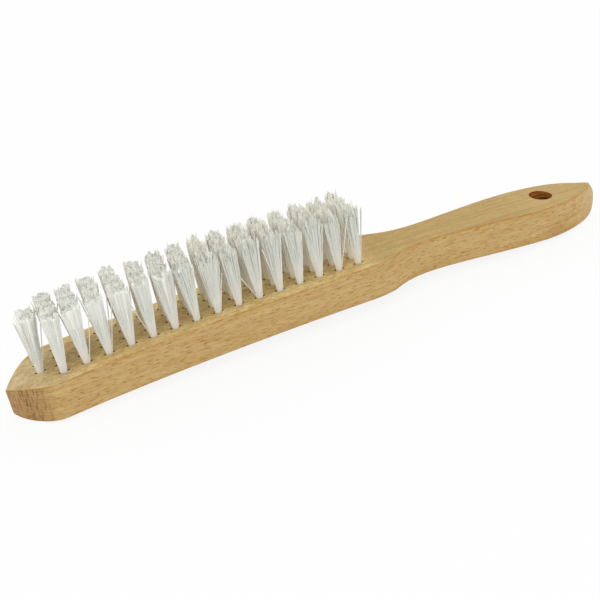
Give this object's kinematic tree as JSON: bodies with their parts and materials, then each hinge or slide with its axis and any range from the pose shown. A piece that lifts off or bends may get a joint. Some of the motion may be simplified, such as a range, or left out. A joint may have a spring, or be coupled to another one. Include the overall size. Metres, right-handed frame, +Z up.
{
  "type": "scrub brush",
  "caption": "Hand scrub brush: a one-piece arched beech board with a waisted handle and hang hole, set with rows of short pale nylon tufts.",
  "frame": {"origin": "On the surface the brush lies on, midway along its length and width, bristles up", "axes": "+X runs along the board from its tip to its handle end, +Y across it, +Z up out of the bristled face"},
  "size_m": [0.29, 0.0344, 0.0467],
  "materials": {
    "beech": "bare planed and sanded beech, unvarnished, with short darker flecks",
    "nylon": "cool white translucent nylon filament, cream where it is packed"
  },
  "bodies": {
    "root": {"beech_board": "beech", "tuft_pair_01a": "nylon", "tuft_pair_02a": "nylon", "tuft_pair_02b": "nylon", "tuft_pair_03a": "nylon", "tuft_pair_03b": "nylon", "tuft_pair_04a": "nylon", "tuft_pair_04b": "nylon", "tuft_pair_05a": "nylon", "tuft_pair_05b": "nylon", "tuft_pair_06a": "nylon", "tuft_pair_06b": "nylon", "tuft_pair_07a": "nylon", "tuft_pair_07b": "nylon", "tuft_pair_08a": "nylon", "tuft_pair_08b": "nylon", "tuft_pair_09a": "nylon", "tuft_pair_09b": "nylon", "tuft_pair_10a": "nylon", "tuft_pair_10b": "nylon", "tuft_pair_11a": "nylon", "tuft_pair_11b": "nylon", "tuft_pair_12a": "nylon", "tuft_pair_12b": "nylon", "tuft_pair_13a": "nylon", "tuft_pair_13b": "nylon", "tuft_pair_14a": "nylon", "tuft_pair_14b": "nylon", "tuft_pair_15a": "nylon", "tuft_pair_15b": "nylon", "tuft_pair_16a": "nylon", "tuft_pair_16b": "nylon"}
  },
  "joints": []
}
